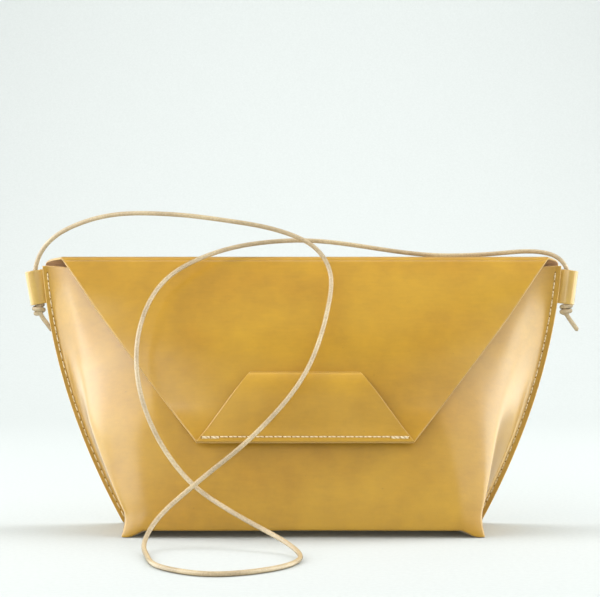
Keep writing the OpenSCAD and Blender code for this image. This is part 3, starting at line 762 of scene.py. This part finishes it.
# The tab's row: one line of stitches, with two more at each end laid just below the first ones
TAB_STITCHES = 23
slant = (FLAP_BOTTOM_HALF - TAB_TOP_HALF) / TAB_H
reach = FLAP_BOTTOM_HALF - 1.0 - TAB_STITCH_UP * slant - STITCH_PITCH / 2
place = np.linspace(-reach, reach, TAB_STITCHES) + FLAP_SHIFT
up = np.full(TAB_STITCHES, TAB_LOW + TAB_STITCH_UP)
place = np.concatenate([place, place[[0, 1, -2, -1]]])
up = np.concatenate([up, up[:4] - 0.8])
for face, name in ((1, "front"), (-1, "back")):
    depth = TAB_T + TAB_LAYER - 0.25 if face > 0 else -LEATHER_T
    at = np.column_stack([place, on_flap(np.full(len(place), depth), up)])
    along = np.tile([1.0, 0.0, 0.0], (len(place), 1))
    out = np.tile([0.0, *(OUT_FLAP * face)], (len(place), 1))
    sew("tab_stitches_" + name, at, along, out, "flap_body", "tab_thread" if face > 0 else None, length=5.9)


# The loops: a strap of thinner leather doubled round into a sleeve for the cord, its two tails sewn behind
# the seam. They lean with the seam's slope, and their cut edges show pale at top and bottom.
LOOP_R = 5.0
LOOP_MID = np.array([7.0, 1.4])
LOOP_TAIL = -8.0
LOOP_TILT = {-1: math.radians(10), 1: math.radians(7.5)}


def at_loop(points, side):
    """Places points of a loop's own frame, whose z runs up the sleeve and x away from the bag."""
    c, s = math.cos(LOOP_TILT[side]), math.sin(LOOP_TILT[side])
    x, y, z = np.moveaxis(np.asarray(points, float), -1, 0)
    return np.stack([side * (seam_x(LOOP_Z) + c * x + s * z), BACK_Y + y, LOOP_Z - s * x + c * z], axis=-1)


angle = np.radians(np.linspace(-128, 128, 40))
ring = LOOP_MID + (LOOP_R - LOOP_T / 2) * np.column_stack([np.cos(angle), np.sin(angle)])
tail = LOOP_TAIL + np.concatenate([NEAR_EDGE[:7], np.linspace(1.8, 9, 10)])
loop_line = np.concatenate([
    np.column_stack([tail, np.full_like(tail, LOOP_T / 2)]), ring,
    np.column_stack([tail, np.full_like(tail, 1.5 * LOOP_T)])[::-1],
])
loop_line = np.concatenate([loop_line[:7], eased(loop_line[7:-7], 3), loop_line[-7:]])
along = unit(np.gradient(loop_line, axis=0))
loop_out = np.column_stack([along[:, 1], -along[:, 0]])
high = np.concatenate([NEAR_EDGE[:7], np.linspace(2, LOOP_H - 2, 20), LOOP_H - NEAR_EDGE[6::-1]])
loop_grain = loop_line + loop_out * LOOP_T / 2
loop_shape = (len(loop_line), len(high))
loop_grid = np.empty((*loop_shape, 3))
loop_grid[..., :2] = loop_grain[:, None]
loop_grid[..., 2] = high - LOOP_H / 2
loop_normal = np.zeros((*loop_shape, 3))
loop_normal[..., :2] = loop_out[:, None]
from_tail = np.abs(loop_line[:, 0] - LOOP_TAIL)[:, None]
loop_edge = np.minimum(np.minimum(high, LOOP_H - high)[None], from_tail)
loops = []
loop_leather = tanned_leather("vegetable_tanned_loop", "#DBB965", "#CFAA50")
for side, label in ((-1, "left"), (1, "right")):
    origin = at_loop([0, 0, 0], side)
    loop = sheet(label + "_loop_leather", at_loop(loop_grid, side), loop_edge, LOOP_T,
                 normal=at_loop(loop_normal, side) - origin, flip=side < 0)
    loop.data.materials.append(loop_leather)
    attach(loop, "bag_body")
    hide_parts(label + "_loop")
    loops.append(loop)


# The cord: a round leather lace 3 mm thick that goes through both loops and is stopped under each by an
# overhand knot with a short tail. Its slack lies over the flap and on the floor in front, as it fell.
CORD_R = 1.5
ROUTE = np.array([
    [-178, 33, 144], [-181, 33, 164], [-181, 33, 172], [-178, 33, 181], [-173, 32, 188], [-142, 26, 204],
    [-86, 16, 207], [-53, 11, 203], [-12, 10, 195], [10, 12, 185], [17, 12, 176], [20, 6, 164],
    [18, -4, 150], [2, -31, 103], [-32, -52, 64], [-66, -68, 37], [-91, -84, 14], [-95, -94, 5],
    [-91, -113, 2.4], [-80, -154, 1.6], [-49, -179, 1.6], [-16, -161, 1.6], [-4, -141, 1.6], [0, -120, 2.4],
    [-5, -107, 5], [-45, -76, 23], [-66, -62, 35], [-89, -50, 62], [-103, -41, 97], [-104, -25, 132],
    [-87, 0, 166], [-73, 9, 175], [-43, 24, 186], [-12, 31, 190], [100, 38, 180], [128, 37, 181],
    [160, 34, 183], [176, 33, 179], [181, 33, 171], [181, 33, 163], [178, 33, 144],
], float)


def flowing(route, pace=1.0):
    """A smooth line through route points: cubic pieces whose slope at a point is a mean of its two sides'.

    The slope weighs each side by the length of the other, so that it stays even where points are unevenly
    spaced. From a to b, with slopes u and w there and s from 0 to 1, a piece is
    (1 + 2s)(1 - s)^2 a + s(1 - s)^2 u + s^2 (3 - 2s) b + s^2 (s - 1) w.
    """
    gaps = np.linalg.norm(np.diff(route, axis=0), axis=1, keepdims=True)
    steps = np.diff(route, axis=0) / gaps
    slopes = np.empty_like(route)
    slopes[1:-1] = (steps[:-1] * gaps[1:] + steps[1:] * gaps[:-1]) / (gaps[1:] + gaps[:-1])
    slopes[0], slopes[-1] = steps[0], steps[-1]
    line = []
    for i, span in enumerate(gaps[:, 0]):
        s = np.linspace(0, 1, max(3, round(span / pace)), endpoint=False)[:, None]
        line.append(
            route[i] * (1 + 2 * s) * (1 - s) ** 2 + slopes[i] * span * s * (1 - s) ** 2
            + route[i + 1] * s * s * (3 - 2 * s) + slopes[i + 1] * span * s * s * (s - 1)
        )
    return np.concatenate([*line, route[-1:]])


def tube(name, line, radius, sides=12):
    """A round tube along a line, with rounded ends; its rings don't twist from one point to the next."""
    along = unit(np.gradient(line, axis=0))
    across = np.empty_like(along)
    start = unit(np.cross(along[0], [0.3, 1, 0.2]))
    for i, direction in enumerate(along):
        start = unit(start - direction * np.dot(start, direction))
        across[i] = start
    other = np.cross(along, across)
    a = np.arange(sides) / sides * math.tau
    radius = np.full(len(line), float(radius))
    cap = np.sin(np.array([0.03, 0.5, 1.0, 1.4]))
    radius[:4] *= cap
    radius[-4:] *= cap[::-1]
    rings = across[:, None] * np.cos(a)[:, None] + other[:, None] * np.sin(a)[:, None]
    points = line[:, None] + rings * radius[:, None, None]
    count = len(line)
    faces = net(count, sides, ring=True).tolist()
    faces += [list(range(sides))[::-1], [(count - 1) * sides + i for i in range(sides)]]
    return piece(name, points.reshape(-1, 3), faces)


def lace_leather():
    """Drawn leather lace: undyed and rolled round, so it is pale and a little polished.

    Fine fibres and darker rubbed stretches about 25 mm long show where fingers and the loops have worn it.
    """
    made, tree, shader = material("leather_lace")
    at = add(tree, "TexCoord").outputs["Object"]
    worn = noise(tree, at, 0.025, Detail=3.0)
    fibre = noise(tree, at, 0.0012, Detail=4.0, Roughness=0.7)
    tint = ramp(tree, worn, [(0.35, "#AEA085"), (0.65, "#C8B99B")])
    rubbed = ramp(tree, fibre, [(0.3, "#A98F66"), (0.7, "#FFF4DE")])
    tree.links.new(blend_colour(tree, 0.35, tint, rubbed, "OVERLAY"), shader.inputs["Base Color"])
    emboss(tree, shader, fibre, 0.3, 0.0003)
    shader.inputs["Roughness"].default_value = 0.45
    shader.inputs["Coat Weight"].default_value = 0.8
    shader.inputs["Coat Roughness"].default_value = 0.25
    return made


lace = lace_leather()
# Each knot: how far its tail leans from the sleeve's line, positive outwards, and its turn about that line
for side, label, tail_lean, spin in ((-1, "left", -25, 20), (1, "right", 43, 200)):
    a = np.radians(np.linspace(0, 500, 12) + spin)
    wraps = np.column_stack([3.0 * np.cos(a), 3.0 * np.sin(a), np.linspace(-2.6, 2.4, 12)])
    lean = math.radians(tail_lean)
    tail_way = np.array([math.sin(lean), 0.1, -math.cos(lean)])
    into = np.array([[0.3, 0, 9.5], [0.4, 0, 5.0], [0.8, 0.2, 0.5], [0.9, 0.5, -3.0]])
    leave = np.array([[-0.4, -1.4, 1.6], [-0.5, -0.6, -1.8]])
    tail = np.array([0, 0, -3.0]) + np.multiply.outer([3.0, 9.0, 15.0], tail_way)
    local = np.concatenate([into, wraps, leave, tail]) + [LOOP_MID[0], LOOP_MID[1], -LOOP_H / 2 - 3.0]
    knot = tube(label + "_knot_lace", flowing(at_loop(local, side), pace=0.5), CORD_R)
    knot.data.materials.append(lace)
    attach(knot, "bag_body")
    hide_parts(label + "_knot")

cord_line = eased(flowing(ROUTE), times=160)
cord_line[:, 2] = np.maximum(cord_line[:, 2], CORD_R + 0.02)
cord = tube("shoulder_lace", cord_line, CORD_R)
cord.data.materials.append(lace)
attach(cord, "bag_body")
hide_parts("shoulder_cord")
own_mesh(cord)


# The snap: a socket with a magnet in a pressed brass shell on the front, a brass cap with its post on the
# flap, and a steel washer under the bent prongs of each. They stay the solids' own shapes.
def turned_metal(name, fair, deep, roughness):
    """Pressed and tumbled sheet metal: a soft shine, fine scratches 0.4 mm apart and darker rubbed patches.

    It is a little less than fully metallic, because this room gives it little to reflect.
    """
    made, tree, shader = material(name)
    at = add(tree, "TexCoord").outputs["Object"]
    rubbed = noise(tree, at, 0.006, Detail=3.0)
    lines = noise(tree, at, 0.0004, Detail=2.0, Distortion=2.0)
    tree.links.new(ramp(tree, rubbed, [(0.35, deep), (0.65, fair)]), shader.inputs["Base Color"])
    gloss = add(tree, "MapRange", {"Value": lines}, To_Min=roughness - 0.06, To_Max=roughness + 0.1)
    tree.links.new(gloss.outputs[0], shader.inputs["Roughness"])
    emboss(tree, shader, lines, 0.1, 0.0001)
    shader.inputs["Metallic"].default_value = 0.75
    return made


def ferrite():
    """Sintered ferrite: a dark grey ceramic magnet with a fine, matt, slightly mottled surface."""
    made, tree, shader = material("ferrite")
    at = add(tree, "TexCoord").outputs["Object"]
    mottle = noise(tree, at, 0.001, Detail=4.0)
    tree.links.new(ramp(tree, mottle, [(0.35, "#38363A"), (0.7, "#55535A")]), shader.inputs["Base Color"])
    shader.inputs["Roughness"].default_value = 0.7
    return made


brass = turned_metal("brass", "#E2C07A", "#C9A45C", 0.4)
steel = turned_metal("nickel_steel", "#D2D1CB", "#B4B2AA", 0.4)
for node, finish in (
    ("snap_socket", brass), ("snap_cap", brass), ("socket_washer", steel), ("cap_washer", steel),
    ("snap_magnet", ferrite()),
):
    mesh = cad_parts[node].data
    mesh.materials.clear()
    mesh.materials.append(finish)


# The stage: a matt off-white sweep that runs level under the bag and curves up behind it. Reflections
# don't see it and it casts no shadow, so that the leather's shine comes from the lamps, also from below
# the floor.
def paper():
    """Seamless paper: near white with a cool cast, quite matt, its fibres too fine to see from here."""
    made, tree, shader = material("seamless_paper")
    at = add(tree, "TexCoord").outputs["Object"]
    fibre = noise(tree, at, 0.003, Detail=2.0)
    tree.links.new(ramp(tree, fibre, [(0.3, "#C9CECC"), (0.7, "#CDD2D0")]), shader.inputs["Base Color"])
    shader.inputs["Roughness"].default_value = 0.95
    shader.inputs["Specular IOR Level"].default_value = 0.1
    return made


SWEEP_R = 900.0
SWEEP_HALF = 1250.0
turn = np.radians(np.linspace(0, 90, 24))
profile = np.concatenate([
    [[-1300, 0], [-700, 0], [0, 0], [400, 0]],
    np.column_stack([900 + SWEEP_R * np.sin(turn), SWEEP_R - SWEEP_R * np.cos(turn)]), [[1800, 2600]],
])
wide = np.linspace(-SWEEP_HALF, SWEEP_HALF, 13)
sweep_points = np.empty((len(profile), len(wide), 3))
sweep_points[..., 0] = wide
sweep_points[..., 1:] = profile[:, None]
sweep = piece("paper_sweep", sweep_points.reshape(-1, 3), net(len(profile), len(wide))[:, ::-1])
sweep.data.materials.append(paper())
sweep.visible_glossy = False
sweep.visible_shadow = False


# The light: a near-white room that the camera sees but that lights little, soft lamps round the bag, and two
# cards beside it that only reflections see. The cards light the front, the loops and the cord alone.
ROOM_LIGHT = 0.06
ROOM_SEEN = 0.92
world = bpy.data.worlds.new("world")
bpy.context.scene.world = world
world.use_nodes = True
room = world.node_tree.nodes["Background"]
room.inputs["Color"].default_value = srgb("#FBFDFF")
to_camera = add(world.node_tree, "LightPath").outputs["Is Camera Ray"]
strength = add(world.node_tree, "MapRange", {"Value": to_camera}, To_Min=ROOM_LIGHT, To_Max=ROOM_SEEN)
world.node_tree.links.new(strength.outputs[0], room.inputs["Strength"])

shone_on = bpy.data.collections.new("shone_on")
for thing in (front_leather, *loops, cord):
    shone_on.objects.link(thing)


def softbox(name, at, aim, size, watts, tint="#FFFFFF", **rays):
    """A rectangular lamp with a soft cloth front, turned from its place towards a point, both in metres.

    rays switches off its glossy light, or its diffuse light. A lamp without diffuse light is a card: it only
    shines in the leather's wax, on what is in shone_on.
    """
    light = bpy.data.lights.new(name, "AREA")
    light.shape = "RECTANGLE"
    light.size, light.size_y = size
    light.energy = watts
    light.color = srgb(tint)[:3]
    lamp = bpy.data.objects.new(name, light)
    lamp.location = at
    lamp.rotation_euler = (Vector(aim) - Vector(at)).to_track_quat("-Z", "Y").to_euler()
    for kind, seen in rays.items():
        setattr(lamp, "visible_" + kind, seen)
    if "diffuse" in rays:
        lamp.light_linking.receiver_collection = shone_on
    bpy.context.scene.collection.objects.link(lamp)


softbox("card_left", (-0.95, 0.4, 0.1), (0, 0.4, 0.1), (1.7, 1.4), 13.5, "#FBFFF6", diffuse=False)
softbox("card_right", (0.95, 0.13, 0.1), (0, 0.13, 0.1), (1.25, 1.4), 13.5, "#FBFFF6", diffuse=False)
softbox("side_left", (-1.2, 0.1, 0.85), (0, 0, 0.1), (1.2, 1.2), 7, glossy=False)
softbox("side_right", (1.2, 0.1, 0.85), (0, 0, 0.1), (1.2, 1.2), 13, glossy=False)
softbox("softbox_left", (-0.95, -0.6, 0.7), (0, -0.4, 0.2), (1.75, 1.0), 11.5)
softbox("softbox_right", (0.95, -0.6, 0.7), (0, -0.4, 0.2), (1.75, 1.0), 4.5)
softbox("softbox_front", (0, -1.9, 0.7), (0, 0, 0.1), (2.4, 1.3), 13.6, glossy=False)
softbox("softbox_top", (0, 0, 1.7), (0, 0, 0), (2.2, 2.4), 3.5)
softbox("softbox_backdrop", (0, 0.7, 2.4), (0, 1.75, 0.8), (2.6, 1.3), 56, glossy=False)
